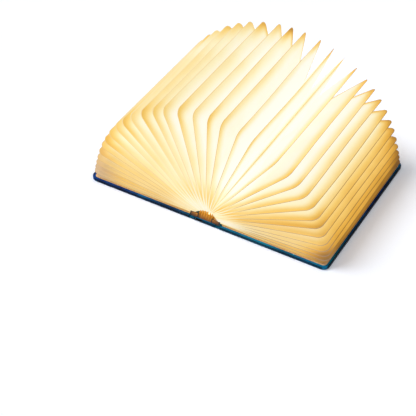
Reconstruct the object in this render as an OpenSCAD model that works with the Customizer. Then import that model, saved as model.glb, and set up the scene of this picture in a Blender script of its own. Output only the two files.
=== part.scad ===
// Folding book lamp: a hardcover case with a pleated paper fan, opened flat.
// X runs along the open width, Y along the spine, Z up from the table.
// The front cover lies on the left, the back cover on the right.

/* [Case] */
// length of the covers and the spine
cover_l = 210; // [160:1:260]
// width of one cover board
board_w = 134; // [100:1:180]
// thickness of a cover with its wrap
cover_t = 4; // [2.4:0.1:5]
// width of the spine board
spine_w = 25; // [25:0.5:34]
// width of the groove between spine and cover
groove_w = 8; // [6:0.5:12]
// thickness of the leather wrap
wrap_t = 0.5; // [0.3:0.1:0.8]
// radius of the outer cover corners
cover_r = 8; // [2:0.5:20]
// thickness of the lining papers
lining_t = 0.4; // [0.2:0.1:0.6]
// width of the wrap that shows around a lining paper
turn_in = 3.5; // [2:0.5:10]

/* [Page fan] */
// number of page ridges, an odd number
page_count = 33; // [9:2:33]
// length of a page from its foot to its ridge
page_reach = 137.5; // [90:0.5:180]
// thickness of a page
page_t = 0.3; // [0.2:0.05:0.5]
// distance from a page's end to the cover's end
page_inset = 3; // [1:0.5:8]
// radius of the page corners
page_r = 8; // [4:0.5:30]
// lean of the outermost page of the open fan, from upright
fan_lean = 88.5; // [60:0.5:88.5]
// how far the pages crowd toward the covers
fan_crowd = 30; // [0:0.5:36]
// how unevenly the pages stand
fan_ripple = 0.6; // [0:0.1:1.6]
// half the width that the page feet take up when open
feet_half_w = 16; // [12:0.5:20]
// height of the outermost page foot
feet_low = 7.5; // [5:0.1:8]
// rise of the middle page foot above the outermost
feet_rise = 5.3; // [3:0.1:8]
// depth of a pleat behind its ridges
pleat_depth = 30; // [10:1:50]
// distance of a pleat's end wall from the page ends
pleat_end_inset = 22; // [8:1:40]
// thickness of the paper between two pages
pleat_t = 0.2; // [0.15:0.05:0.4]

/* [Light and power] */
// number of diodes on the strip
led_count = 24; // [6:1:40]
// width of the diode strip
strip_w = 8; // [5:0.5:12]
// length of the diode strip
strip_l = 190; // [100:1:192]
// width of the battery
battery_w = 20; // [12:0.5:21]
// length of the battery
battery_l = 80; // [40:1:90]
// width of the charging socket
port_w = 9; // [8.9:0.1:9.6]
// height of the charging socket
port_h = 3.2; // [3.1:0.1:3.4]
// distance of the charging socket from the middle of the spine
port_x = -7; // [-7:0.5:7]
// diameter of a cover magnet
magnet_d = 9; // [5:0.5:14]

/* [Hidden] */
$fn = 48;

half_l = cover_l / 2;
spine_half = spine_w / 2 + wrap_t;
groove_outer = spine_half - wrap_t + groove_w;
cover_edge = groove_outer + board_w;
board_top = cover_t - lining_t;
seat = 0.05;

mid_page = (page_count + 1) / 2;
side_pages = mid_page - 1;
page_half_l = half_l - page_inset;

spine_top = cover_t;
liner_top = spine_top + lining_t;
band_t = 0.4;
band_drop = 0.35;
led_h = 0.6;
led_w = 2.8;
led_l = 3.5;
strip_t = 0.3;
led_pitch = strip_l / led_count;

pocket_floor = wrap_t + 0.1;
battery_t = spine_top - pocket_floor - 0.1;
battery_y = half_l - 15 - battery_l / 2;
board_t = 0.8;
circuit_w = 22;
circuit_l = 30;
circuit_y = -half_l + 3 + circuit_l / 2;
port_l = 7.3;
port_wall = 0.3;
port_z = pocket_floor + board_t;
port_mouth = -half_l + 0.4;
sensor = [3, 3, 1];
lead_d = 0.8;
gusset_t = 0.5;
gusset_y = half_l - 1.7;
magnet_t = 1.5;
magnet_edge = 16;

leather = [0.07, 0.22, 0.42];
grey_board = [0.55, 0.50, 0.43];
white_paper = [0.96, 0.94, 0.88];
lit_paper = [1.0, 0.86, 0.58];
amber = [0.62, 0.40, 0.16];
steel = [0.75, 0.76, 0.78];
dark = [0.12, 0.13, 0.14];
green_board = [0.10, 0.35, 0.22];

// Place of a page in its fan: -1 for the first page, 0 for the middle, 1 for the last.
function place(i) = (i - mid_page) / side_pages;

// Lean of a page from upright, negative toward the front cover.
function lean(i) = (fan_lean + fan_crowd) * place(i) - fan_crowd * pow(place(i), 3)
    + fan_ripple * (1 - pow(place(i), 2)) * sin(256 * (i - mid_page));

// Where the foot of a page stands in the open fan.
function foot_x(i) = feet_half_w * place(i);
function foot_z(i) = feet_low + feet_rise * (1 - pow(abs(place(i)), 2.2));

// The point at distance reach along a page, beside its middle plane.
function beside(i, reach, side) = [
    foot_x(i) + reach * sin(lean(i)) + side * cos(lean(i)),
    foot_z(i) + reach * cos(lean(i)) - side * sin(lean(i))
];

function page_name(i) = str("page_", i < 10 ? "0" : "", i);

// A plate from x = 0 with two round corners on its far side.
module leaf(w, l, r, h) {
    linear_extrude(h) {
        translate([0, -l / 2]) square([w - r, l]);
        translate([0, -l / 2 + r]) square([w, l - 2 * r]);
        for (s = [-1, 1])
            translate([w - r, s * (l / 2 - r)]) circle(r);
    }
}

// Front parts are the mirror of back parts.
module on_side(side) {
    mirror([side < 0 ? 1 : 0, 0, 0]) children();
}

module magnet_places() {
    for (s = [-1, 1])
        translate([cover_edge - magnet_edge, s * (half_l - magnet_edge), board_top - magnet_t])
            children();
}

module cover_board(side) {
    color(grey_board) on_side(side) difference() {
        translate([groove_outer + wrap_t, 0, wrap_t])
            leaf(board_w - 2 * wrap_t, cover_l - 2 * wrap_t, cover_r - wrap_t, board_top - wrap_t);
        magnet_places() cylinder(d = magnet_d + 0.2, h = magnet_t + 1);
    }
}

module cover_wrap(side) {
    color(leather) on_side(side) difference() {
        translate([groove_outer, 0, 0]) leaf(board_w, cover_l, cover_r, cover_t);
        translate([groove_outer + wrap_t, 0, wrap_t])
            leaf(board_w - 2 * wrap_t, cover_l - 2 * wrap_t, cover_r - wrap_t, board_top - wrap_t);
        translate([groove_outer + wrap_t, 0, board_top])
            leaf(board_w - wrap_t - turn_in, cover_l - 2 * turn_in, cover_r - turn_in, cover_t);
    }
}

module cover_endpaper(side) {
    color(white_paper) on_side(side)
        translate([groove_outer + wrap_t, 0, board_top])
            leaf(board_w - wrap_t - turn_in, cover_l - 2 * turn_in, cover_r - turn_in, lining_t);
}

module cover_magnets(side) {
    color(steel) on_side(side) magnet_places() cylinder(d = magnet_d, h = magnet_t);
}

// The leather bends here, so the strip lies lower than the boards.
module hinge_strip(side) {
    strip_low = 0.9;
    color(leather) on_side(side)
        translate([spine_half + seat, -half_l, strip_low])
            cube([groove_outer - spine_half - 2 * seat, cover_l, wrap_t + 0.2]);
}

module battery_pocket(gap) {
    translate([-battery_w / 2 - gap, battery_y - battery_l / 2 - gap, pocket_floor])
        cube([battery_w + 2 * gap, battery_l + 2 * gap, spine_top]);
}

module circuit_pocket(gap) {
    translate([-circuit_w / 2 - gap, circuit_y - circuit_l / 2 - gap, pocket_floor])
        cube([circuit_w + 2 * gap, circuit_l + 2 * gap, spine_top]);
}

// Straight channel for the two leads between battery and circuit.
module lead_channel() {
    channel_l = battery_y - battery_l / 2 - circuit_y - circuit_l / 2 + 2;
    translate([-2.5, circuit_y + circuit_l / 2 - 1, spine_top - 1.4])
        cube([5, channel_l, spine_top]);
}

module port_opening(gap) {
    translate([port_x - port_w / 2 - gap, -half_l - 1, port_z - gap])
        cube([port_w + 2 * gap, port_l + 2, port_h + 2 * gap]);
}

module spine_board() {
    color(grey_board) difference() {
        translate([-spine_w / 2, -half_l + wrap_t, wrap_t])
            cube([spine_w, cover_l - 2 * wrap_t, spine_top - wrap_t]);
        battery_pocket(0.3);
        circuit_pocket(0.3);
        lead_channel();
        port_opening(0.2);
    }
}

module spine_wrap() {
    color(leather) difference() {
        translate([-spine_half, -half_l, 0]) cube([2 * spine_half, cover_l, spine_top]);
        translate([-spine_w / 2, -half_l + wrap_t, wrap_t])
            cube([spine_w, cover_l - 2 * wrap_t, spine_top]);
        port_opening(0.2);
    }
}

module spine_liner() {
    color(white_paper) difference() {
        translate([-spine_w / 2, -half_l + 1, spine_top])
            cube([spine_w, cover_l - 2, lining_t]);
        port_opening(0.2);
        translate([-3, circuit_y + circuit_l / 2 - 4, 0]) cube([6, 3, spine_top + 2]);
    }
}

module battery_cell() {
    color(steel)
        translate([-battery_w / 2, battery_y - battery_l / 2, pocket_floor])
            cube([battery_w, battery_l, battery_t]);
}

module battery_leads() {
    from_y = circuit_y + circuit_l / 2 - 0.9;
    to_y = battery_y - battery_l / 2;
    color(dark) for (s = [-1, 1])
        translate([s * 1.2, from_y, spine_top - 0.9])
            rotate([-90, 0, 0]) cylinder(d = lead_d, h = to_y - from_y);
}

module control_board() {
    color(green_board) union() {
        translate([-circuit_w / 2, circuit_y - circuit_l / 2, pocket_floor])
            cube([circuit_w, circuit_l, board_t]);
        translate([2, circuit_y - 2, port_z]) cube([4, 4, 1]);
        translate([-8, circuit_y + 2, port_z]) cube([5, 3, 1.1]);
        translate([-2, circuit_y + circuit_l / 2 - 5, port_z]) cube([4, 4, 0.5]);
    }
}

module opening_sensor() {
    color(dark)
        translate([circuit_w / 2 - sensor.x - 1, circuit_y + 5, port_z]) cube(sensor);
}

// Socket shell with its slot and the tongue inside.
module charge_port() {
    mouth_h = port_h - 2 * port_wall;
    mid_z = port_z + port_h / 2;
    color(steel) translate([port_x, port_mouth, mid_z]) rotate([-90, 0, 0]) {
        difference() {
            linear_extrude(port_l) port_outline(port_w, port_h);
            translate([0, 0, -1]) linear_extrude(port_l - 0.8)
                port_outline(port_w - 2 * port_wall, mouth_h);
        }
        translate([-3.3, -0.35, 1]) cube([6.6, 0.7, port_l - 1.5]);
    }
}

module port_outline(w, h) {
    square([w - h, h], center = true);
    for (s = [-1, 1])
        translate([s * (w - h) / 2, 0]) circle(d = h);
}

module led_strip() {
    color(white_paper)
        translate([-strip_w / 2, -strip_l / 2, liner_top]) cube([strip_w, strip_l, strip_t]);
}

module leds() {
    color(lit_paper) for (k = [0 : led_count - 1])
        translate([-led_w / 2, -strip_l / 2 + (k + 0.5) * led_pitch - led_l / 2, liner_top + strip_t])
            cube([led_w, led_l, led_h]);
}

// Two short wires rise from the circuit to the strip.
module led_leads() {
    y = circuit_y + circuit_l / 2 - 2.5;
    color(dark) for (s = [-1, 1])
        translate([s * 1.2, y, port_z + 0.5])
            cylinder(d = lead_d, h = liner_top - port_z - 0.5);
}

// Thin band under the page feet, an arch while the lamp is open.
module page_band() {
    color(lit_paper) rotate([90, 0, 0])
        translate([0, 0, -page_half_l]) linear_extrude(2 * page_half_l) polygon(concat(
            [for (i = [1 : page_count]) [foot_x(i), foot_z(i) - band_drop]],
            [for (i = [page_count : -1 : 1]) [foot_x(i) * 0.98, foot_z(i) - band_drop - band_t]]
        ));
}

// Closes the hollow under the arch at one end of the spine.
module gusset(end) {
    low = liner_top + 0.05;
    color(amber) difference() {
        translate([0, end * gusset_y, 0]) rotate([90, 0, 0])
            linear_extrude(gusset_t, center = true) polygon(concat(
                [for (i = [4 : page_count - 3]) [foot_x(i) * 0.98, foot_z(i) - band_drop - band_t]],
                [[spine_w / 2 - 1, low], [-spine_w / 2 + 1, low]]
            ));
        port_opening(0.3);
    }
}

module page(i) {
    color(lit_paper) translate([foot_x(i), 0, foot_z(i)]) rotate([0, lean(i), 0])
        translate([page_t / 2, 0, 0]) rotate([0, -90, 0])
            leaf(page_reach, 2 * page_half_l, page_r, page_t);
}

// The V of paper between page i and the next, and its two end walls.
module pleat(i) {
    side = page_t / 2 + 0.15;
    reach = page_reach - 0.5;
    inner = reach - pleat_depth;
    a = beside(i, reach, side);
    c = beside(i + 1, reach, -side);
    b = (beside(i, inner, side) + beside(i + 1, inner, -side)) / 2;
    in = (beside(i, 0, 0) + beside(i + 1, 0, 0)) / 2 - (a + c) / 2;
    back = in / norm(in) * pleat_t / sin(atan2(norm(c - a) / 2, pleat_depth));
    rotate([90, 0, 0]) {
        linear_extrude(2 * (page_half_l - page_r), center = true)
            polygon([a, b, c, c + back, b + back, a + back]);
        for (s = [-1, 1])
            translate([0, 0, s * (page_half_l - pleat_end_inset)])
                linear_extrude(pleat_t, center = true) polygon([
                    beside(i, 3, side), beside(i, inner, side), b,
                    beside(i + 1, inner, -side), beside(i + 1, 3, -side)
                ]);
    }
}

module pleats(first, last) {
    color(lit_paper) for (i = [first : last]) pleat(i);
}

cover_board(-1);  // front_board
cover_wrap(-1);  // front_wrap
cover_endpaper(-1);  // front_endpaper
cover_magnets(-1);  // front_magnets
hinge_strip(-1);  // front_hinge_strip
cover_board(1);  // back_board
cover_wrap(1);  // back_wrap
cover_endpaper(1);  // back_endpaper
cover_magnets(1);  // back_magnets
hinge_strip(1);  // back_hinge_strip
spine_board();
spine_wrap();
spine_liner();
battery_cell();
battery_leads();
control_board();
opening_sensor();
charge_port();
led_strip();
leds();
led_leads();
page_band();
gusset(-1);  // near_gusset
gusset(1);  // far_gusset
pleats(1, mid_page - 1);  // pleats_front
pleats(mid_page, page_count - 1);  // pleats_back
for (i = [1 : page_count])
    page(i);
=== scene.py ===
"""Folding book lamp, open and lit: printed leather case, pleated paper fan, light in the spine.

Metres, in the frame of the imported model: X across the open lamp, Y along the spine, Z up.
"""
import functools
import math
import bmesh
import bpy
from mathutils import Matrix, Vector


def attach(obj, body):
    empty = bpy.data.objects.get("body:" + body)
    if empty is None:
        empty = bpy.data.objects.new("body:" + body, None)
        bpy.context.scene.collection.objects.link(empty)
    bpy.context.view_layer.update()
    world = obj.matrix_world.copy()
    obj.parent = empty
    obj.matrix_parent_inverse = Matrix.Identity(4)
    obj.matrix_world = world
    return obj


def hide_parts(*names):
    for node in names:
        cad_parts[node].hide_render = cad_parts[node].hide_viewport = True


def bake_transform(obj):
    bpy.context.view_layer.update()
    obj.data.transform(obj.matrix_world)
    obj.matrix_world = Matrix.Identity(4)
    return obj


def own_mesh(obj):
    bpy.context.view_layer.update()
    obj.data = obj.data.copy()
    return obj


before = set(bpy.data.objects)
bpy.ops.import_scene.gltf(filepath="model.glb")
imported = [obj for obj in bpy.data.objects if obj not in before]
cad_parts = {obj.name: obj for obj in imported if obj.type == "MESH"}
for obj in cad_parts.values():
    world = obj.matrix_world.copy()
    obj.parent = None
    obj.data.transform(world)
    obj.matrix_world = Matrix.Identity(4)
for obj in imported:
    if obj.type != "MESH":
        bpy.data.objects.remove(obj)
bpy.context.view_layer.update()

MM = 0.001
HAIR = 0.1 * MM  # a small gap or overlap, and what counts as the same place
SIDES = ((-1, "front"), (1, "back"))
QUARTERS = ((1, 1), (-1, 1), (-1, -1), (1, -1))

# Case, as in the part's source
HALF_LENGTH = 105 * MM
COVER_INNER = 20.5 * MM
COVER_OUTER = 154.5 * MM
COVER_THICK = 4 * MM
COVER_CORNER = 8 * MM
LINING_THICK = 0.4 * MM
LINING_BED = COVER_THICK - LINING_THICK
SPINE_HALF = 13 * MM

# Leather, finer than in the part's source: turned in at the rim, sunk where the lining lies
TURN_IN = 5.2 * MM
HINGE_RIM = 0.5 * MM
LEATHER_TOP = COVER_THICK + 0.15 * MM
SPINE_RIM = 0.5 * MM
SPINE_BED_DROP = 3.5 * MM
HINGE_THICK = 1.1 * MM
HINGE_LOW = 0.8 * MM
HINGE_DIP = 0.4 * MM

# Paper fan, as in the part's source
PAGES = 33
MIDDLE = 17
PAGE_REACH = 137.5 * MM
PAGE_HALF_LENGTH = 102 * MM
PAGE_CORNER = 8 * MM
FEET_HALF = 16 * MM
FEET_LOW = 7.5 * MM
FEET_RISE = 5.3 * MM
FAN_LEAN = 88.5
FAN_CROWD = 30.0
FAN_RIPPLE = 0.6

# Pleats, finer than in the part's source: a seam is the glued share of a leaf's depth
FOLD_DEPTH = 44 * MM
END_DEPTH = 32 * MM
INNER_CORNER = 5 * MM
SEAM = 0.03
SEAM_HALF = 0.15 * MM
LEAF_STEPS = (0.0, SEAM, 0.08, 0.16, 0.30, 0.50, 0.74, 1.0)
BOW = 0.9 * MM
DRAW_IN = 4 * MM
DRAW_IN_REACH = 24 * MM
CORNER_SHADE_REACH = 26 * MM

# Opening of the charging socket in the leather, at the near end of the spine
SOCKET_LEFT = -11.7 * MM
SOCKET_RIGHT = -2.3 * MM
SOCKET_LOW = 1.2 * MM
SOCKET_DEEP = 2 * MM

# Band under the feet, narrow enough to clear the covers as they close
BAND_HALF_WIDTH = 11 * MM
BAND_HALF_LENGTH = 97 * MM
BAND_COLUMNS = 25
BAND_UNDER_FEET = 0.55 * MM
BAND_WALL = 0.3 * MM

# End papers and their side tabs
END_OUTER = 103.4 * MM
END_INNER = 98.4 * MM
END_LOW = COVER_THICK + LINING_THICK + HAIR
END_WALL = 0.35 * MM
END_HALF = 10.4 * MM
END_TEETH = 6
END_ABOVE_FEET = 1.3 * MM
NOTCH_DEPTH = 3.4 * MM
CREASE_DEPTH = 0.2 * MM
TAB_INNER = 8.2 * MM
TAB_OUTER = 19.4 * MM

# Gold foil
FOIL_THICK = 0.08 * MM
FOIL_SUNK = 0.02 * MM
COVER_MIDDLE = (COVER_INNER + COVER_OUTER) / 2


# Small tools

def linear(hex_colour):
    """sRGB hex to the linear colour that a shader takes."""
    channels = [int(hex_colour[start:start + 2], 16) / 255 for start in (1, 3, 5)]
    return tuple(
        value / 12.92 if value <= 0.04045 else ((value + 0.055) / 1.055) ** 2.4 for value in channels
    ) + (1.0,)


def deselect():
    bpy.ops.object.select_all(action="DESELECT")


def only(obj):
    deselect()
    obj.select_set(True)
    bpy.context.view_layer.objects.active = obj


def box_piece(name, low, high):
    """A cube primitive set to a box, with its place in its mesh."""
    deselect()
    low, high = Vector(low), Vector(high)
    bpy.ops.mesh.primitive_cube_add(size=1, location=(low + high) / 2, scale=high - low)
    obj = bpy.context.object
    obj.name = obj.data.name = name
    bpy.ops.object.transform_apply(location=True, rotation=True, scale=True)
    return obj


def grid_piece(name, columns, rows):
    """A grid of so many points each way, whose points are then put in place."""
    deselect()
    bpy.ops.mesh.primitive_grid_add(x_subdivisions=columns - 1, y_subdivisions=rows - 1)
    obj = bpy.context.object
    obj.name = obj.data.name = name
    return obj


def edit_select(obj, kind, wanted):
    """Opens a piece for editing with only the wanted faces or edges selected."""
    only(obj)
    bpy.ops.object.mode_set(mode="EDIT")
    bpy.ops.mesh.select_mode(type=kind)
    bpy.ops.mesh.select_all(action="DESELECT")
    mesh = bmesh.from_edit_mesh(obj.data)
    for item in mesh.faces if kind == "FACE" else mesh.edges:
        if wanted(item):
            item.select_set(True)
    bmesh.update_edit_mesh(obj.data)


def leave_edit():
    bpy.ops.object.mode_set(mode="OBJECT")


def round_edges(obj, wanted, offset, segments=3):
    edit_select(obj, "EDGE", wanted)
    bpy.ops.mesh.bevel(offset=offset, segments=segments, affect="EDGES")
    leave_edit()


def faces_up(face):
    return face.normal.z > 0.9


def apply_modifiers(obj):
    only(obj)
    for modifier in list(obj.modifiers):
        bpy.ops.object.modifier_apply(modifier=modifier.name)


def thicken(obj, thickness, offset=0):
    """Gives a sheet its thickness: offset 0 on both sides of it, -1 on its lower side."""
    wall = obj.modifiers.new("thickness", "SOLIDIFY")
    wall.thickness = thickness
    wall.offset = offset
    apply_modifiers(obj)


def smooth(obj, degrees):
    only(obj)
    bpy.ops.object.shade_smooth_by_angle(angle=math.radians(degrees))


def set_values(obj, values):
    """Numbers at the points of a sheet, which its material reads by name."""
    for name, column in values.items():
        obj.data.attributes.new(name, "FLOAT", "POINT").data.foreach_set("value", column)


def finish_piece(obj, material, body, replaces=()):
    obj.data.materials.clear()
    obj.data.materials.append(material)
    if body:
        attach(obj, body)
    if replaces:
        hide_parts(*replaces)


# Materials

def add_node(tree, kind, inputs=(), stops=(), **settings):
    """Adds a node with its settings and links.

    Inputs come in the order of the node's open sockets, or by name in a dictionary. A node
    given as an input stands for its first open output. Stops are those of a colour ramp: a
    place and an sRGB hex value, or a place and a plain grey number.
    """
    node = tree.nodes.new("ShaderNode" + kind)
    for name, value in settings.items():
        setattr(node, name, value)
    if stops:
        elements = node.color_ramp.elements
        while len(elements) < len(stops):
            elements.new(0.5)
        for element, (place, colour) in zip(elements, stops):
            element.position = place
            element.color = linear(colour) if isinstance(colour, str) else (colour, colour, colour, 1)
    open_sockets = [socket for socket in node.inputs if socket.enabled]
    for key, value in inputs.items() if isinstance(inputs, dict) else enumerate(inputs):
        socket = node.inputs[key] if isinstance(key, str) else open_sockets[key]
        if isinstance(value, bpy.types.Node):
            value = next(output for output in value.outputs if output.enabled)
        if isinstance(value, bpy.types.NodeSocket):
            tree.links.new(value, socket)
        else:
            socket.default_value = value
    return node


def new_material(name):
    """An empty material, and the function that adds nodes to it."""
    material = bpy.data.materials.new(name)
    material.use_nodes = True
    material.node_tree.nodes.clear()
    return material, functools.partial(add_node, material.node_tree)


def spacing(millimetres):
    """The Scale input that repeats a pattern once in so many millimetres."""
    return 1 / (millimetres * MM)


SMOOTH = "SMOOTHSTEP"


def lit_paper():
    """Spun-fibre paper, thin and translucent, folded and glued, with the warm light behind it painted in.

    Painted glow and shade: white hot near the light, cream and amber toward the folded edges,
    where two leaves lie on each other, and a dull beige far down on the front side, where little light
    comes.
    """
    material, add = new_material("spun_fibre_paper_lit")
    place = add("TexCoord").outputs["Object"]
    y = add("SeparateXYZ", [place]).outputs["Y"]
    depth, reach, lean, corner, shade = (
        add("Attribute", attribute_name=name).outputs["Fac"]
        for name in ("fold_depth", "reach", "lean", "corner", "shade"))
    right_half = add("MapRange", [lean, 0.0, 0.35], interpolation_type=SMOOTH)
    left_half = add("Math", [1.0, right_half], operation="SUBTRACT")
    far_end = add("MapRange", [y, 0.0, 70 * MM], interpolation_type=SMOOTH)
    near_end = add("MapRange", [y, -70 * MM, -100 * MM], interpolation_type=SMOOTH)

    # Fibres about a millimetre apart, and soft clouds where the sheet is thicker.
    fibres = add("TexNoise", {
        "Vector": place, "Scale": spacing(1.11), "Detail": 3.0, "Roughness": 0.6})
    clouds = add("TexNoise", {"Vector": place, "Scale": spacing(35.7), "Detail": 2.0})
    grain = add("Math", [fibres, 0.05, -0.025], operation="MULTIPLY_ADD")
    cloud = add("Math", [clouds, 0.16, -0.08], operation="MULTIPLY_ADD")

    # Share of the light by where the page stands in the fan.
    across = add("Math", [lean, 0.5, 0.5], operation="MULTIPLY_ADD")
    by_lean = add("SeparateColor", [add("ValToRGB", [across], stops=[
        (0.0, 0.64), (0.12, 0.74), (0.25, 0.89), (0.42, 0.95),
        (0.58, 0.99), (0.69, 0.98), (0.76, 0.93), (0.81, 0.85),
        (0.86, 0.69), (0.94, 0.51), (0.97, 0.40), (1.0, 0.26)])])

    # Painted shade: darker along the folded edge, less so on the left and at its far end.
    softer = add("Math", [far_end, -0.45, -0.4], operation="MULTIPLY_ADD")
    softer = add("Math", [left_half, softer, 1.3], operation="MULTIPLY_ADD")
    fold = add("MapRange", [depth, 0.0, 20 * MM, 0.32, 0.0], interpolation_type=SMOOTH)
    fold = add("Math", [fold, softer], operation="MULTIPLY")

    # Painted shade: browner at the rounded corners, most at the far end and low on the right.
    upper = add("MapRange", [lean, -0.45, 0.1], interpolation_type=SMOOTH)
    upper = add("Math", [upper, far_end], operation="MULTIPLY")
    low_right = add("MapRange", [lean, 0.80, 1.0, 0.0, 0.25], interpolation_type=SMOOTH)
    tip = add("Math", [right_half, -0.14, 0.38], operation="MULTIPLY_ADD")
    tip = add("Math", [upper, 0.36, tip], operation="MULTIPLY_ADD")
    tip = add("Math", [tip, low_right], operation="ADD")
    tip = add("Math", [corner, tip], operation="MULTIPLY")
    edge = add("MapRange", [depth, 0.0, 18 * MM, 1.0, 0.15], interpolation_type=SMOOTH)
    tip = add("Math", [tip, edge], operation="MULTIPLY")

    # Painted shade and glow: a little darker low at the far end, and bright near the spine.
    far_low = add("MapRange", [lean, 0.50, 0.80, 0.0, -0.02], interpolation_type=SMOOTH)
    far_low = add("Math", [far_end, far_low], operation="MULTIPLY")
    by_foot = add("MapRange", [reach, 0.05, 0.60, 1.0, 0.0], interpolation_type=SMOOTH)
    near_spine = add("MapRange", [lean, 0.10, 0.45, 0.16, 0.30], interpolation_type=SMOOTH)
    near_spine = add("Math", [by_foot, near_spine], operation="MULTIPLY")

    # Painted shade and glow on the near ends on the right: deeper amber half way down, brighter below,
    # brown at the corner.
    begins = add("MapRange", [lean, 0.25, 0.45], interpolation_type=SMOOTH)
    downward = add("MapRange", [lean, 0.62, 0.92, -0.12, 0.28], interpolation_type=SMOOTH)
    near_right = add("Math", [begins, downward], operation="MULTIPLY")
    low_corner = add("MapRange", [lean, 0.72, 0.98, 0.0, -0.36], interpolation_type=SMOOTH)
    near_right = add("Math", [corner, low_corner, near_right], operation="MULTIPLY_ADD")
    near_right = add("Math", [near_right, near_end], operation="MULTIPLY")

    # Near the foot the pockets are narrow flutes, painted bright on the fold and with painted amber shade
    # between.
    groove = add("MapRange", [depth, 1.0 * MM, 3.4 * MM, 0.06, -0.36], interpolation_type=SMOOTH)
    low_down = add("MapRange", [reach, 0.08, 0.40, 1.0, 0.0], interpolation_type=SMOOTH)
    flute = add("Math", [groove, low_down], operation="MULTIPLY")

    off_fold = add("Math", [1.0, fold], operation="SUBTRACT")
    off_tip = add("Math", [1.0, tip], operation="SUBTRACT")
    heat = add("Math", [off_fold, off_tip], operation="MULTIPLY")
    heat = add("Math", [by_lean, heat], operation="MULTIPLY")
    for part in (far_low, near_spine, near_right, flute, shade, cloud, grain):
        heat = add("Math", [heat, part], operation="ADD")
    glow = add("ValToRGB", [heat], stops=[
        (0.0, "#80591F"), (0.14, "#C08B2C"), (0.30, "#EEBB50"), (0.46, "#FAD67C"),
        (0.62, "#FEE8AA"), (0.78, "#FFF7D2"), (1.0, "#FFFFFB")])

    # Painted shade: far down on the front side, and on the near ends low down, where little light comes,
    # the glow gives way to the paper's own dull beige.
    outer = add("MapRange", [lean, -0.62, -0.98, 0.0, 0.8], interpolation_type=SMOOTH)
    ridge = add("MapRange", [reach, 0.60, 1.0], interpolation_type=SMOOTH)
    front_dull = add("Math", [outer, ridge], operation="MULTIPLY")
    both_sides = add("Math", [lean], operation="ABSOLUTE")
    low_end = add("MapRange", [both_sides, 0.50, 0.95, 0.0, 0.14], interpolation_type=SMOOTH)
    low_end = add("Math", [low_end, near_end], operation="MULTIPLY")
    dull = add("Math", [front_dull, low_end], operation="MAXIMUM")
    glow = add("Mix", [dull, glow, linear("#CBB6A2")], data_type="RGBA")

    # The glued seam is a hair line of double paper; its tint is painted light and shade: pale toward the
    # front, brown toward the back cover, greyer at the near end on the right.
    seam_shade_tint = add("ValToRGB", [across], stops=[
        (0.0, "#CFB188"), (0.16, "#E2C288"), (0.32, "#FFF0C8"),
        (0.52, "#DDB365"), (0.72, "#A87838"), (1.0, "#7A5526")])
    greyer = add("Math", [near_end, right_half], operation="MULTIPLY")
    seam_shade_tint = add("Mix", [greyer, seam_shade_tint, linear("#A38E80")], data_type="RGBA")
    seam = add("MapRange", [depth, 0.4 * MM, 1.4 * MM, 0.75, 0.0], interpolation_type=SMOOTH)
    clear_of_foot = add("MapRange", [reach, 0.12, 0.4], interpolation_type=SMOOTH)
    seam = add("Math", [seam, clear_of_foot], operation="MULTIPLY")
    glow = add("Mix", [seam, glow, seam_shade_tint], data_type="RGBA")

    bump = add("Bump", {"Strength": 0.15, "Distance": 0.2 * MM, "Height": fibres})
    body = add("Mix", [1.0, glow, linear("#9E9887")], data_type="RGBA", blend_type="MULTIPLY")
    shader = add("BsdfPrincipled", {
        "Base Color": body, "Roughness": 0.75, "Normal": bump, "IOR": 1.45,
        "Emission Color": glow, "Emission Strength": 0.68})
    add("OutputMaterial", {"Surface": shader})
    return material


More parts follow.
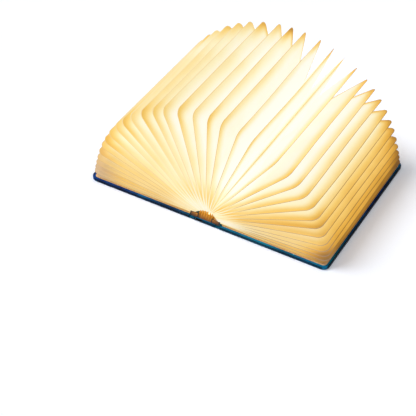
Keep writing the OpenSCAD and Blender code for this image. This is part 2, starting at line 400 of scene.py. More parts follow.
def printed_leather():
    """Coated leather, embossed grain under a printed night sky: navy, royal blue and teal
    clouds with bright blue specks, satin from its clear coat."""
    material, add = new_material("printed_coated_leather")
    place = add("TexCoord").outputs["Object"]

    # Clouds as wide as half a cover, drawn out of shape by a slower pattern.
    warp = add("TexNoise", {"Vector": place, "Scale": spacing(111), "Detail": 3.0})
    shift = (50 * MM, 50 * MM, 50 * MM)
    moved = add("VectorMath", [warp.outputs["Color"], shift, place], operation="MULTIPLY_ADD")
    cloud = add("TexNoise", {
        "Vector": moved, "Scale": spacing(71.4), "Detail": 5.0, "Roughness": 0.62})
    tint = add("TexNoise", {"Vector": moved, "Scale": spacing(167), "Detail": 2.0})
    blue = add("ValToRGB", [cloud], stops=[
        (0.30, "#061432"), (0.44, "#0A2A62"), (0.54, "#0D4490"), (0.64, "#105EAE"), (0.78, "#268ACC")])
    teal = add("ValToRGB", [cloud], stops=[
        (0.30, "#032238"), (0.46, "#04486C"), (0.60, "#06668E"), (0.76, "#1594B8")])
    tint = add("MapRange", [tint, 0.48, 0.64], interpolation_type=SMOOTH)
    sky = add("Mix", [tint, blue, teal], data_type="RGBA")

    # Specks between one and two millimetres across, one at most in each cell of 14 mm.
    cells = add("TexVoronoi", {"Vector": place, "Scale": spacing(14.3)})
    speck = add("MapRange", [cells, 0.03, 0.09, 1.0, 0.0], interpolation_type=SMOOTH)
    few = add("SeparateColor", [cells.outputs["Color"]])
    few = add("MapRange", [few, 0.60, 0.66], interpolation_type=SMOOTH)
    speck = add("Math", [speck, few], operation="MULTIPLY")
    sky = add("Mix", [speck, sky, linear("#59D6F2")], data_type="RGBA")

    # Painted shade: the turned edges of the boards, which face away from the light, are darkened to nearly
    # black.
    axes = add("SeparateXYZ", [place]).outputs
    fore_edge = add("Math", [axes["X"]], operation="ABSOLUTE")
    fore_edge = add("MapRange", [fore_edge, COVER_OUTER - 2 * MM, COVER_OUTER - 0.5 * MM, 0.0, 0.92],
                    interpolation_type=SMOOTH)
    end_edge = add("Math", [axes["Y"]], operation="ABSOLUTE")
    end_edge = add("MapRange", [end_edge, HALF_LENGTH - 0.7 * MM, HALF_LENGTH, 0.0, 0.74],
                   interpolation_type=SMOOTH)
    rim = add("Math", [fore_edge, end_edge], operation="MAXIMUM")
    sky = add("Mix", [rim, sky, linear("#02060E")], data_type="RGBA")

    # Grain cells of about 1.2 mm, drawn a little coarser than real so that they show.
    grain = add("TexVoronoi", {"Vector": place, "Scale": spacing(1.18)}, feature="DISTANCE_TO_EDGE")
    pores = add("MapRange", [grain, 0.0, 0.18], interpolation_type=SMOOTH)
    bump = add("Bump", {"Strength": 0.35, "Distance": 0.3 * MM, "Height": pores})
    rough = add("MapRange", [pores, 0.0, 1.0, 0.52, 0.38])
    shader = add("BsdfPrincipled", {
        "Base Color": sky, "Roughness": rough, "Normal": bump, "IOR": 1.40,
        "Specular IOR Level": 0.06})
    add("OutputMaterial", {"Surface": shader})
    return material


def gold_foil():
    """Hot-stamped gold foil: bright warm metal, slightly broken by the grain under it."""
    material, add = new_material("hot_stamped_gold_foil")
    place = add("TexCoord").outputs["Object"]
    worn = add("TexNoise", {"Vector": place, "Scale": spacing(2.38), "Detail": 3.0})
    colour = add("ValToRGB", [worn], stops=[(0.30, "#B9832F"), (0.50, "#E0B04F"), (0.72, "#F5D27C")])
    rough = add("MapRange", [worn, 0.3, 0.7, 0.28, 0.46], interpolation_type=SMOOTH)
    bump = add("Bump", {"Strength": 0.2, "Distance": 0.2 * MM, "Height": worn})
    shader = add("BsdfPrincipled", {
        "Base Color": colour, "Metallic": 0.85, "Roughness": rough, "Normal": bump})
    add("OutputMaterial", {"Surface": shader})
    return material


def lining_paper():
    """Uncoated book paper, matt, with a faint fibre mottle, its tan partly painted light: warmed by the lit
    pages.
    """
    material, add = new_material("uncoated_lining_paper")
    place = add("TexCoord").outputs["Object"]
    fibre = add("TexNoise", {"Vector": place, "Scale": spacing(1.67), "Detail": 4.0})
    colour = add("ValToRGB", [fibre], stops=[(0.35, "#CFA777"), (0.65, "#E2BF90")])
    bump = add("Bump", {"Strength": 0.1, "Distance": 0.2 * MM, "Height": fibre})
    shader = add("BsdfPrincipled", {"Base Color": colour, "Roughness": 0.85, "Normal": bump})
    add("OutputMaterial", {"Surface": shader})
    return material


def end_paper():
    """Brown kraft paper at the end of the spine, with the light behind it painted in as glow and shade:
    golden in the middle, dark toward the case, with long pressed fibres."""
    material, add = new_material("kraft_paper_lit")
    place = add("TexCoord").outputs["Object"]
    axes = add("SeparateXYZ", [place]).outputs
    stretched = add("Mapping", {"Vector": place, "Scale": (1.0, 1.0, 0.35)})
    fibre = add("TexNoise", {"Vector": stretched, "Scale": spacing(1.43), "Detail": 4.0})
    height = add("MapRange", [axes["Z"], 4.2 * MM, 12 * MM, -0.08, 0.72])
    from_middle = add("Math", [axes["X"]], operation="ABSOLUTE")
    side = add("MapRange", [from_middle, 4 * MM, 18 * MM, 0.18, -0.1], interpolation_type=SMOOTH)
    level = add("Math", [height, side], operation="ADD")
    mottle = add("Math", [fibre, 0.2, -0.1], operation="MULTIPLY_ADD")
    level = add("Math", [level, mottle], operation="ADD", use_clamp=True)
    colour = add("ValToRGB", [level], stops=[
        (0.0, "#3E2406"), (0.25, "#75490A"), (0.5, "#A67010"), (0.8, "#C78C1E"), (1.0, "#E4B042")])
    bump = add("Bump", {"Strength": 0.25, "Distance": 0.3 * MM, "Height": fibre})
    body = add("Mix", [0.6, colour, linear("#BC8530")], data_type="RGBA", blend_type="MULTIPLY")
    shader = add("BsdfPrincipled", {
        "Base Color": body, "Roughness": 0.7, "Normal": bump,
        "Emission Color": colour, "Emission Strength": 0.5})
    add("OutputMaterial", {"Surface": shader})
    return material


def plain_finish(name, dark, light, grain_spacing, roughness, metallic=0.0, glow=0.0):
    """A made surface of two close tones with a fine grain: board, moulding, plated metal."""
    material, add = new_material(name)
    place = add("TexCoord").outputs["Object"]
    grain = add("TexNoise", {"Vector": place, "Scale": spacing(grain_spacing), "Detail": 4.0})
    colour = add("ValToRGB", [grain], stops=[(0.35, dark), (0.65, light)])
    rough = add("MapRange", [grain, 0.3, 0.7, roughness * 0.85, roughness * 1.15],
                interpolation_type=SMOOTH)
    bump = add("Bump", {"Strength": 0.1, "Distance": 0.2 * MM, "Height": grain})
    inputs = {"Base Color": colour, "Metallic": metallic, "Roughness": rough, "Normal": bump}
    if glow:
        inputs.update({"Emission Color": colour, "Emission Strength": glow})
    add("OutputMaterial", {"Surface": add("BsdfPrincipled", inputs)})
    return material


LEATHER = printed_leather()
PAPER = lit_paper()
FOIL = gold_foil()
LINING = lining_paper()
KRAFT = end_paper()
# Painted shadow in the folds of the kraft paper: matt and nearly black.
CREASE_SHADOW = plain_finish("kraft_crease_shadow", "#140A02", "#2A1A07", 1.43, 0.7)
# Waste-paper board, matt grey with a coarse fleck.
GREY_BOARD = plain_finish("pressed_grey_board", "#8A7C67", "#A3957F", 2.0, 0.9)
# Nickel plate, a cool bright metal, and its black kind, duller.
STEEL = plain_finish("nickel_plated_steel", "#A9ABAE", "#C9CBCE", 0.833, 0.25, metallic=1.0)
BLACK_NICKEL = plain_finish("black_nickel_shell", "#2A2724", "#3B3733", 0.833, 0.4, metallic=0.9)
# Aluminium foil under a clear film, slightly cloudy.
POUCH = plain_finish("laminated_foil_pouch", "#A8ABB0", "#C4C7CC", 3.33, 0.35, metallic=0.8)
# Soft black silicone, half matt.
WIRE = plain_finish("silicone_wire_cover", "#191B1D", "#26292C", 1.11, 0.55)
# Green lacquer over copper and glass cloth, glossy.
CIRCUIT = plain_finish("solder_mask_board", "#134A2C", "#1C6A40", 1.43, 0.4)
# Moulded black resin, fine and dull.
MOULDING = plain_finish("black_epoxy_moulding", "#17191B", "#232629", 1.11, 0.5)
# Polyimide strip with a white lacquer, which throws the light back.
STRIP = plain_finish("white_flexible_circuit", "#E6E2D6", "#F4F0E6", 1.43, 0.45)
# Diodes under yellow phosphor, bright warm white.
DIODE = plain_finish("warm_white_diodes", "#FFD890", "#FFEFC8", 1.11, 0.4, glow=2.0)

CAD_FINISHES = {
    "front_board": GREY_BOARD, "back_board": GREY_BOARD, "spine_board": GREY_BOARD,
    "front_endpaper": LINING, "back_endpaper": LINING, "spine_liner": LINING,
    "front_magnets": STEEL, "back_magnets": STEEL, "charge_port": BLACK_NICKEL,
    "battery_cell": POUCH, "battery_leads": WIRE, "led_leads": WIRE,
    "control_board": CIRCUIT, "opening_sensor": MOULDING, "led_strip": STRIP, "leds": DIODE,
}
for node_name, finish in CAD_FINISHES.items():
    node_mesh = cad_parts[node_name].data
    node_mesh.materials.clear()
    node_mesh.materials.append(finish)


# Paper fan

def share(page):
    """Where a page stands in the fan: -1 at the front cover, 0 in the middle, 1 at the back."""
    return (page - MIDDLE) / (MIDDLE - 1)


def lean(page):
    """Lean of a page from upright in radians, negative toward the front cover."""
    spread = share(page)
    ripple = FAN_RIPPLE * (1 - spread * spread) * math.sin(math.radians(256 * (page - MIDDLE)))
    return math.radians((FAN_LEAN + FAN_CROWD) * spread - FAN_CROWD * spread ** 3 + ripple)


def arch_height(x):
    """Height of the arch that the page feet stand on."""
    return FEET_LOW + FEET_RISE * (1 - min(1.0, abs(x) / FEET_HALF) ** 2.2)


def foot(page):
    x = FEET_HALF * share(page)
    return Vector((x, 0, arch_height(x)))


def page_normal(page):
    return Vector((math.cos(lean(page)), 0, -math.sin(lean(page))))


def sheet_bow(page, reach, y):
    """How far the paper of a page bows out of its plane."""
    waves = y / PAGE_HALF_LENGTH * (0.75 + 0.2 * math.cos(page)) + 0.37 * page
    return BOW * math.sin(2.1 * page) * math.sin(math.pi * waves) * (reach / PAGE_REACH) ** 1.5


def on_page(page, reach, y):
    outward = Vector((math.sin(lean(page)), 0, math.cos(lean(page))))
    point = foot(page) + outward * reach + page_normal(page) * sheet_bow(page, reach, y)
    point.y = y
    return point


def beside_page(page, side, reach, y):
    """The valley between a page and its neighbour, or the cover's lining at the ends."""
    here = on_page(page, reach, y)
    if 1 <= page + side <= PAGES:
        return (here + on_page(page + side, reach, y)) / 2
    return Vector((here.x, y, COVER_THICK + HAIR))


def drawn_in(page, reach):
    """How far the ends of a page pull in toward its glued foot, most in the middle of the fan."""
    return DRAW_IN * (1 - share(page) ** 2) * max(0.0, 1 - reach / DRAW_IN_REACH) ** 1.5


def page_outline(page, reach, half_length, corner, straight=16, turn=9, across=26):
    """Points of a page's outline, from its near foot round the ridge to its far foot."""
    near = []
    for step in range(straight):
        along = (reach - corner) * (step / straight) ** 1.3
        near.append((along, -half_length + drawn_in(page, along)))
    for step in range(turn):
        angle = math.pi / 2 * step / turn
        near.append((reach - corner + corner * math.sin(angle),
                     -half_length + corner - corner * math.cos(angle)))
    ridge = [(reach, -half_length + corner + 2 * (half_length - corner) * step / across)
             for step in range(across + 1)]
    return near + ridge + [(along, -y) for along, y in reversed(near)]


def leaf_opening(step, glued_down):
    """0 along the seam, then the leaf spreads toward the valley, or drops to the cover."""
    if step <= SEAM:
        return 0.0
    return 1.0 if glued_down else ((step - SEAM) / (1 - SEAM)) ** 1.15


def close_rim(obj, rows, columns):
    """Joins the sheet's last column to its first and closes both ends at the feet."""
    shape = bmesh.new()
    shape.from_mesh(obj.data)
    shape.verts.ensure_lookup_table()
    points = shape.verts
    for row in range(rows - 1):
        start, after = row * columns, (row + 1) * columns
        shape.faces.new((points[start], points[after], points[after + columns - 1], points[after - 1]))
    shape.faces.new(points[:columns])
    shape.faces.new(points[(rows - 1) * columns:])
    bmesh.ops.recalc_face_normals(shape, faces=shape.faces)
    shape.to_mesh(obj.data)
    shape.free()


def page_piece(page):
    """One paper pocket: two leaves joined along the ridge that spread to the valleys."""
    outer = page_outline(page, PAGE_REACH, PAGE_HALF_LENGTH, PAGE_CORNER)
    inner = page_outline(page, PAGE_REACH - FOLD_DEPTH, PAGE_HALF_LENGTH - END_DEPTH, INNER_CORNER)
    ring = [(1, step) for step in LEAF_STEPS] + [(-1, step) for step in reversed(LEAF_STEPS)]
    columns, rows = len(ring), len(outer)
    tone = 0.04 * math.sin(2.4 * page) + 0.02 * math.sin(5.1 * page)
    corner_shade = 1 + 0.25 * math.sin(2.6 * page + 1)
    points = []
    values = {"fold_depth": [], "reach": [], "corner": [],
              "lean": [share(page)] * (columns * rows), "shade": [tone] * (columns * rows)}
    for (outer_reach, outer_y), (inner_reach, inner_y) in zip(outer, inner):
        span = math.hypot(inner_reach - outer_reach, inner_y - outer_y)
        for side, step in ring:
            reach = outer_reach + (inner_reach - outer_reach) * step
            y = outer_y + (inner_y - outer_y) * step
            plane = on_page(page, reach, y) + page_normal(page) * side * SEAM_HALF
            opening = leaf_opening(step, not 1 <= page + side <= PAGES)
            points.extend(plane.lerp(beside_page(page, side, reach, y), opening))
            away = math.hypot(reach - PAGE_REACH, abs(y) - PAGE_HALF_LENGTH)
            values["fold_depth"].append(span * step)
            values["reach"].append(reach / PAGE_REACH)
            values["corner"].append(corner_shade * math.exp(-(away / CORNER_SHADE_REACH) ** 2))
    obj = grid_piece(f"paper_page_{page:02d}", columns, rows)
    obj.data.vertices.foreach_set("co", points)
    set_values(obj, values)
    close_rim(obj, rows, columns)
    smooth(obj, 40)
    pleats = "pleats_front" if page <= MIDDLE else "pleats_back"
    finish_piece(obj, PAPER, f"page_{page:02d}", [f"page_{page:02d}", pleats])
    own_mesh(obj)


def foot_band():
    """The band of paper under the page feet, arched over the diodes while the lamp is open."""
    obj = grid_piece("paper_foot_band", BAND_COLUMNS, rows=2)
    for index, point in enumerate(obj.data.vertices):
        x = BAND_HALF_WIDTH * (2 * (index % BAND_COLUMNS) / (BAND_COLUMNS - 1) - 1)
        y = BAND_HALF_LENGTH * (1 if index >= BAND_COLUMNS else -1)
        point.co = (x, y, arch_height(x) - BAND_UNDER_FEET)
    tones = {"fold_depth": 10 * MM, "reach": 0.3, "corner": 0.0, "lean": 0.0, "shade": 0.0}
    set_values(obj, {name: [value] * len(obj.data.vertices) for name, value in tones.items()})
    thicken(obj, BAND_WALL)
    smooth(obj, 40)
    finish_piece(obj, PAPER, "spine", ["page_band"])
    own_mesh(obj)


for page_number in range(1, PAGES + 1):
    page_piece(page_number)
foot_band()


# Case

def cover_leather(side, half):
    """Leather-wrapped board: round fore-edge corners, soft edges, a bed for the lining."""
    x_low, x_high = sorted((side * COVER_INNER, side * COVER_OUTER))
    obj = box_piece(half + "_cover_leather", (x_low, -HALF_LENGTH, 0), (x_high, HALF_LENGTH, LEATHER_TOP))

    def upright_at_fore_edge(edge):
        first, second = edge.verts
        return (all(abs(point.co.x) > COVER_OUTER - MM for point in edge.verts)
                and abs(first.co.z - second.co.z) > MM)
    round_edges(obj, upright_at_fore_edge, COVER_CORNER, segments=8)

    edit_select(obj, "FACE", faces_up)
    bpy.ops.mesh.inset(thickness=TURN_IN)
    bpy.ops.transform.translate(value=(0, 0, LINING_BED - LEATHER_TOP))
    mesh = bmesh.from_edit_mesh(obj.data)
    for point in mesh.verts:
        if point.select and abs(point.co.x) < COVER_INNER + 2 * TURN_IN:
            point.co.x = side * (COVER_INNER + HINGE_RIM)
    bmesh.update_edit_mesh(obj.data)
    leave_edit()

    def outer_rim(edge):
        low = all(point.co.z < HAIR for point in edge.verts)
        high = all(point.co.z > LEATHER_TOP - HAIR for point in edge.verts)
        beside_wall = any(abs(face.normal.z) < 0.5 and face.calc_area() > 0 for face in edge.link_faces)
        beside_flat = any(abs(face.normal.z) > 0.5 for face in edge.link_faces)
        beside_bed = any(abs(point.co.z - LINING_BED) < HAIR / 2
                         for face in edge.link_faces for point in face.verts)
        return (low or high) and beside_wall and beside_flat and not beside_bed
    round_edges(obj, outer_rim, offset=0.8 * MM)
    smooth(obj, 40)
    finish_piece(obj, LEATHER, half + "_cover", [half + "_wrap"])


def spine_leather():
    """Leather round the spine board, with the opening of the charging socket at the near end."""
    obj = box_piece("spine_leather", (-SPINE_HALF, -HALF_LENGTH, 0), (SPINE_HALF, HALF_LENGTH, COVER_THICK))
    edit_select(obj, "FACE", faces_up)
    bpy.ops.mesh.inset(thickness=SPINE_RIM)
    bpy.ops.transform.translate(value=(0, 0, -SPINE_BED_DROP))
    leave_edit()

    def long_lower_edge(edge):
        return all(point.co.z < HAIR and abs(abs(point.co.x) - SPINE_HALF) < HAIR for point in edge.verts)
    round_edges(obj, long_lower_edge, offset=0.9 * MM)
    cutter = box_piece("cutter", (SOCKET_LEFT, -HALF_LENGTH - MM, SOCKET_LOW),
                       (SOCKET_RIGHT, -HALF_LENGTH + SOCKET_DEEP, COVER_THICK + MM))
    cut = obj.modifiers.new("socket_opening", "BOOLEAN")
    cut.object = cutter
    cut.operation = "DIFFERENCE"
    apply_modifiers(obj)
    bpy.data.objects.remove(cutter)
    smooth(obj, 35)
    finish_piece(obj, LEATHER, "spine", ["spine_wrap"])


def hinge_leather(side, half):
    """Bare leather in the groove, where the covers fold: it dips between spine and cover."""
    inner, outer = SPINE_HALF - 0.3 * MM, COVER_INNER + 0.4 * MM
    obj = grid_piece(half + "_hinge_leather", columns=17, rows=31)
    for point in obj.data.vertices:
        across = (point.co.x + 1) / 2
        point.co.x = side * (inner + (outer - inner) * across)
        point.co.y *= HALF_LENGTH - 0.2 * MM
        point.co.z = HINGE_LOW + HINGE_DIP * math.sin(math.pi * across) ** 0.7
    thicken(obj, HINGE_THICK)
    smooth(obj, 50)
    finish_piece(obj, LEATHER, None, [half + "_hinge_strip"])
    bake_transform(obj)


for cover_side, cover_name in SIDES:
    cover_leather(cover_side, cover_name)
spine_leather()
for cover_side, cover_name in SIDES:
    hinge_leather(cover_side, cover_name)


# Ornament in gold foil

def foil_stroke(points, widths, closed=False):
    """A flat band of foil along points, as wide at each as widths says.

    All numbers of the ornament are millimetres from the middle of its cover or of the spine.
    """
    if closed:
        points = points + points[:1]
    last = len(points) - 1
    obj = grid_piece("foil_stroke", len(points), rows=2)
    for index, (x, y) in enumerate(points):
        ahead = points[1] if closed and index == last else points[min(index + 1, last)]
        behind = points[-2] if closed and index == 0 else points[max(index - 1, 0)]
        step_x, step_y = ahead[0] - behind[0], ahead[1] - behind[1]
        half_width = (widths[index] if isinstance(widths, list) else widths) / 2
        share_of_step = half_width / math.hypot(step_x, step_y)
        for row, sign in ((0, -1), (1, 1)):
            obj.data.vertices[row * len(points) + index].co = (
                (x - sign * step_y * share_of_step) * MM, (y + sign * step_x * share_of_step) * MM, 0)
    return obj


def foil_leaf(x, y, degrees, length, width, bend=0.0):
    """A pointed leaf from its foot at x, y, in degrees from the first axis."""
    points, widths = [], []
    for step in range(9):
        along = step / 8
        angle = math.radians(degrees + bend * along)
        points.append((x + length * along * math.cos(angle), y + length * along * math.sin(angle)))
        widths.append(0.12 + width * math.sin(math.pi * along) ** 0.8)
    return foil_stroke(points, widths)


def foil_ring(x, y, radius, width, start=0, sweep=360):
    """A ring, or an arc of less than 360 degrees."""
    steps = max(12, int(sweep / 8))
    closed = sweep == 360
    angles = [math.radians(start + sweep * step / steps) for step in range(steps if closed else steps + 1)]
    points = [(x + radius * math.cos(angle), y + radius * math.sin(angle)) for angle in angles]
    return foil_stroke(points, width, closed)


def foil_rule(half_x, half_y, corner, width):
    """A rectangular rule with rounded corners."""
    points = []
    for quarter, (side_x, side_y) in enumerate(QUARTERS):
        for step in range(7):
            angle = math.radians(90 * quarter + 15 * step)
            points.append((side_x * (half_x - corner) + corner * math.cos(angle),
                           side_y * (half_y - corner) + corner * math.sin(angle)))
    return foil_stroke(points, width, closed=True)


def foil_lozenge(half_x, half_y, hollow, width, middle_y=0):
    """A four-pointed frame whose sides curve inward."""
    tips = [(half_x, 0), (0, half_y), (-half_x, 0), (0, -half_y)]
    points = []
    for (from_x, from_y), (to_x, to_y) in zip(tips, tips[1:] + tips[:1]):
        for step in range(12):
            along = step / 12
            pull = 1 - hollow * math.sin(math.pi * along)
            points.append(((from_x + (to_x - from_x) * along) * pull,
                           (from_y + (to_y - from_y) * along) * pull + middle_y))
    return foil_stroke(points, width, closed=True)


def direction(first, second):
    return math.degrees(math.atan2(second[1] - first[1], second[0] - first[0]))


def sprig(start, control, stop, leaves, size):
    """A curved stem with pairs of leaves and a leaf at its tip, in all four quarters."""
    parts = []
    for side_x, side_y in QUARTERS:
        def stem(along):
            first, second, third = (1 - along) ** 2, 2 * along * (1 - along), along * along
            return (side_x * (first * start[0] + second * control[0] + third * stop[0]),
                    side_y * (first * start[1] + second * control[1] + third * stop[1]))

        parts.append(foil_stroke([stem(step / 20) for step in range(21)],
                                 [0.9 - 0.5 * step / 20 for step in range(21)]))
        for number in range(1, leaves + 1):
            along = number / (leaves + 1)
            root, beyond = stem(along - 0.02), stem(along + 0.02)
            for turn in (48, -48):
                parts.append(foil_leaf(*root, direction(root, beyond) + turn, size * (1.15 - 0.4 * along),
                                       size * 0.34, bend=-turn * 0.5))
        tip = stem(1.0)
        parts.append(foil_leaf(*tip, direction(stem(0.96), tip), size, size * 0.36))
    return parts


def star(x, y, size):
    return [foil_leaf(x - size, y, 0, 2 * size, size * 0.3),
            foil_leaf(x, y - size, 90, 2 * size, size * 0.3)]


def rosette(radius, petals):
    """Petals of two lengths round a ring."""
    parts = [foil_ring(0, 0, radius * 0.2, 0.7)]
    for number in range(petals):
        degrees = 360 * number / petals
        angle = math.radians(degrees)
        foot_radius = radius * 0.26
        reach = radius * (1.0 if number % 2 == 0 else 0.68)
        parts.append(foil_leaf(foot_radius * math.cos(angle), foot_radius * math.sin(angle), degrees,
                               reach - foot_radius, radius * 0.17))
    return parts


def place_foil(parts, name, middle_x, body):
    """Joins the strokes into one piece and sets it into the leather's outer face."""
    deselect()
    for part in parts:
        part.select_set(True)
    bpy.context.view_layer.objects.active = parts[0]
    bpy.ops.object.join()
    obj = bpy.context.object
    obj.name = obj.data.name = name
    for point in obj.data.vertices:
        point.co.x += middle_x
        point.co.z = FOIL_SUNK
    thicken(obj, FOIL_THICK, offset=-1)
    finish_piece(obj, FOIL, body)


def cover_frame():
    """Three rules, with a fan of leaves under an arc in each corner."""
    parts = [foil_rule(61, 99, 5, 0.45), foil_rule(59, 97, 4, 1.1), foil_rule(56.6, 94.6, 3, 0.45)]
    for side_x, side_y in QUARTERS:
        x, y = side_x * 54.5, side_y * 92.5
        inward = math.degrees(math.atan2(-side_y, -side_x))
        for turn in (-40, -20, 0, 20, 40):
            parts.append(foil_leaf(x - side_x * 2.5, y - side_y * 2.5, inward + turn,
                                   15 - abs(turn) / 10, 2.6))
        parts.append(foil_ring(x, y, 21, 0.6, inward - 42, 84))
        parts.append(foil_ring(x, y, 2.2, 0.6))
    return parts


def front_ornament():
    """A lozenge with a round flower, sprigs round it, and ringed stars between them."""
    parts = cover_frame() + rosette(19, 16) + [foil_ring(0, 0, 21.5, 0.6)]
    parts += [foil_lozenge(47, 74, 0.16, 1.0), foil_lozenge(43.5, 69, 0.17, 0.4)]
    parts += sprig((3, 25), (15, 33), (5, 50), 3, 4.0)
    parts += sprig((8, 80), (30, 82), (47, 50), 6, 6.0)
    parts += sprig((27, 5), (33, 12), (36, 2), 1, 3.6)
    parts += sprig((50, 35), (55, 20), (49, 7), 4, 4.2)
    for side_x, side_y in QUARTERS:
        x, y = side_x * 33, side_y * 45
        parts += [foil_ring(x, y, 7.5, 0.6), foil_ring(x, y, 9.2, 0.35)] + star(x, y, 5.5)
        parts.append(foil_ring(side_x * 22, side_y * 58, 1.6, 0.6))
        parts.append(foil_ring(side_x * 40, side_y * 30, 1.6, 0.6))
    place_foil(parts, "front_foil", -COVER_MIDDLE, "front_cover")


def back_ornament():
    """The same frame with a smaller flower alone."""
    parts = cover_frame() + rosette(12, 16) + [foil_ring(0, 0, 14.5, 0.6)]
    place_foil(parts, "back_foil", COVER_MIDDLE, "back_cover")


def spine_ornament():
    """Rules across the spine, with a starred lozenge in each field and a flower in the middle."""
    parts = sprig((0, 6), (7, 14), (2, 30), 4, 3.4) + rosette(5.5, 12)
    for sign in (1, -1):
        for y, width in ((97, 1.0), (94, 0.45), (66, 0.45), (63, 1.0), (40, 1.0), (37, 0.45)):
            parts.append(foil_stroke([(-10.5, sign * y), (10.5, sign * y)], width))
        for y, half_x, half_y in ((80, 8, 9), (51.5, 6, 7)):
            parts += [foil_lozenge(half_x, half_y, 0.2, 0.7, sign * y)] + star(0, sign * y, 4.2)
    place_foil(parts, "spine_foil", 0, "spine")


front_ornament()
back_ornament()
spine_ornament()


# Ends of the spine

def end_slope(end, up):
    """The end paper leans in, from the rim of the spine to the page feet."""
    return end * (END_OUTER - (END_OUTER - END_INNER) * up ** 1.2)


def end_panel(end, where):
    """Folded kraft paper that closes the hollow under the page feet, its top edge notched."""
    columns, rows = 4 * END_TEETH + 3, 7
    notch = (0.0, 1.0, 1.0, 0.0)
    obj = grid_piece(where + "_end_paper", columns, rows)
    for index, point in enumerate(obj.data.vertices):
        column, up = index % columns, index // columns / (rows - 1)
        x = -END_HALF + 2 * END_HALF * column / (columns - 1)
        top = arch_height(x) + END_ABOVE_FEET - NOTCH_DEPTH * notch[(column + 1) % 4]
        crease = CREASE_DEPTH * math.cos(math.pi * column / 2) * up
        point.co = (x, end_slope(end, up) + end * crease, END_LOW + (top - END_LOW) * up)
    thicken(obj, END_WALL)
    smooth(obj, 30)
    finish_piece(obj, KRAFT, "spine", [where + "_gusset"])
    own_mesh(obj)


def end_tab(end, side, name, rise):
    """A folded side flap of the end paper over the groove, with painted shadow in its pressed creases."""
    across_steps = (0.0, 0.08, 0.14, 0.4, 0.66, 0.84, 0.92, 1.0)
    up_steps = (0.0, 0.12, 0.2, 0.5, 0.8, 0.9, 1.0)
    columns = len(across_steps)
    obj = grid_piece(name, columns, rows=len(up_steps))
    for index, point in enumerate(obj.data.vertices):
        column, row = index % columns, index // columns
        up = up_steps[row]
        from_inner = (TAB_OUTER - TAB_INNER) * across_steps[column]
        top = END_LOW + rise - 0.12 * from_inner
        pressed = END_WALL if column in (1, 6) or row in (1, 5) else 0.0
        point.co = (side * (TAB_INNER + from_inner), end_slope(end, up * 0.4) + end * (0.5 * MM - pressed),
                    END_LOW + (top - END_LOW) * up)
    thicken(obj, END_WALL)
    smooth(obj, 30)
    finish_piece(obj, KRAFT, "spine")
    # Painted shadow: faces along the flap's border and creases take the nearly black finish.
    obj.data.materials.append(CREASE_SHADOW)
    for face in obj.data.polygons:
        share_x = (abs(face.center.x) - TAB_INNER) / (TAB_OUTER - TAB_INNER)
        share_z = (face.center.z - END_LOW) / (rise * (1 - 0.1 * share_x))
        face.material_index = 1 if min(share_x, 1 - share_x, share_z, 1 - share_z) < 0.15 else 0
    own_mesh(obj)


def spine_turn_in(end, where):
    """The leather folded over the end of the spine board, in front of the end paper."""
    y_low, y_high = sorted((end * HALF_LENGTH, end * (END_OUTER - 0.4 * MM)))
    obj = box_piece(where + "_spine_turn_in", (-SPINE_HALF, y_low, COVER_THICK - HAIR),
                    (SPINE_HALF, y_high, COVER_THICK + 0.7 * MM))

    def upper_edge(edge):
        return all(point.co.z > COVER_THICK for point in edge.verts)
    round_edges(obj, upper_edge, offset=0.4 * MM)
    smooth(obj, 40)
    finish_piece(obj, LEATHER, "spine")


for spine_end, end_name in ((-1, "near"), (1, "far")):
    end_panel(spine_end, end_name)
    end_tab(spine_end, -1, end_name + "_left_tab", 6.2 * MM)
    end_tab(spine_end, 1, end_name + "_right_tab", 5.2 * MM)
    spine_turn_in(spine_end, end_name)


# Floor, light and camera

def seen_directly(add):
    """1 for rays that look at a surface from the camera, in a reflection or through glass."""
    rays = add("LightPath").outputs
    total = add("Math", [rays["Is Camera Ray"], rays["Is Glossy Ray"]], operation="MAXIMUM")
    return add("Math", [total, rays["Is Transmission Ray"]], operation="MAXIMUM")


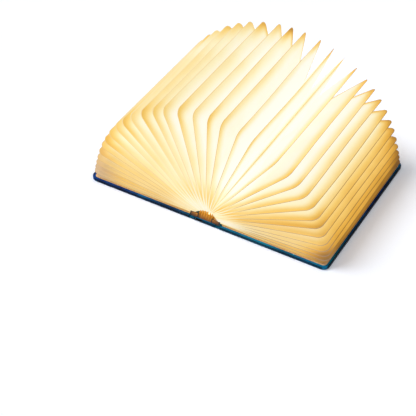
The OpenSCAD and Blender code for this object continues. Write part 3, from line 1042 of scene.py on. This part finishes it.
def stage_floor():
    """A white sweep under the lamp, lifted a little where the camera sees it."""
    bpy.ops.mesh.primitive_plane_add(size=8, location=(0, 0, -0.15 * MM))
    floor = bpy.context.object
    floor.name = "floor"
    material, add = new_material("white_sweep")
    shade = add("BsdfDiffuse", {"Color": linear("#EEF3FE")})
    strength = add("Math", [seen_directly(add), 0.15], operation="MULTIPLY")
    lift = add("Emission", {"Color": linear("#FFFFFF"), "Strength": strength})
    add("OutputMaterial", {"Surface": add("AddShader", [shade, lift])})
    floor.data.materials.append(material)


def soft_lamp(name, direction_to, strength, spread):
    """A wide, distant soft box, which lights the floor evenly as far as it goes."""
    data = bpy.data.lights.new(name, "SUN")
    data.energy = strength
    data.angle = math.radians(spread)
    lamp = bpy.data.objects.new(name, data)
    bpy.context.scene.collection.objects.link(lamp)
    lamp.rotation_euler = Vector(direction_to).to_track_quat("Z", "Y").to_euler()


def world_light():
    """A soft even light that the camera itself sees as plain white."""
    world = bpy.data.worlds.new("studio")
    bpy.context.scene.world = world
    world.use_nodes = True
    world.node_tree.nodes.clear()
    add = functools.partial(add_node, world.node_tree)
    soft = add("Background", {"Color": linear("#FFFFFF"), "Strength": 0.42})
    white = add("Background", {"Color": linear("#FFFFFF"), "Strength": 1.0})
    add("OutputWorld", {"Surface": add("MixShader", [seen_directly(add), soft, white])})


def camera():
    """The photograph's viewpoint, solved from the covers and the page tips."""
    azimuth, elevation, roll = map(math.radians, (29.122, 41.716, 0.837))
    back = Vector((math.sin(azimuth) * math.cos(elevation),
                   -math.cos(azimuth) * math.cos(elevation), math.sin(elevation)))
    level = Vector((math.cos(azimuth), math.sin(azimuth), 0))
    upward = back.cross(level)
    right = level * math.cos(roll) + upward * math.sin(roll)
    up = upward * math.cos(roll) - level * math.sin(roll)
    data = bpy.data.cameras.new("photo_view")
    data.lens = 113.1
    data.sensor_width = 36
    obj = bpy.data.objects.new("photo_view", data)
    bpy.context.scene.collection.objects.link(obj)
    place = Matrix.Translation((0.53767, -1.06141, 1.00237))
    obj.matrix_world = place @ Matrix((right, up, back)).transposed().to_4x4()
    bpy.context.scene.camera = obj


stage_floor()
soft_lamp("key", (-0.75, -0.25, 1.05), 2.05, 24)
soft_lamp("fill", (0.4, -1.2, 0.8), 0.35, 40)
world_light()
camera()
bpy.context.scene.view_settings.view_transform = "Standard"
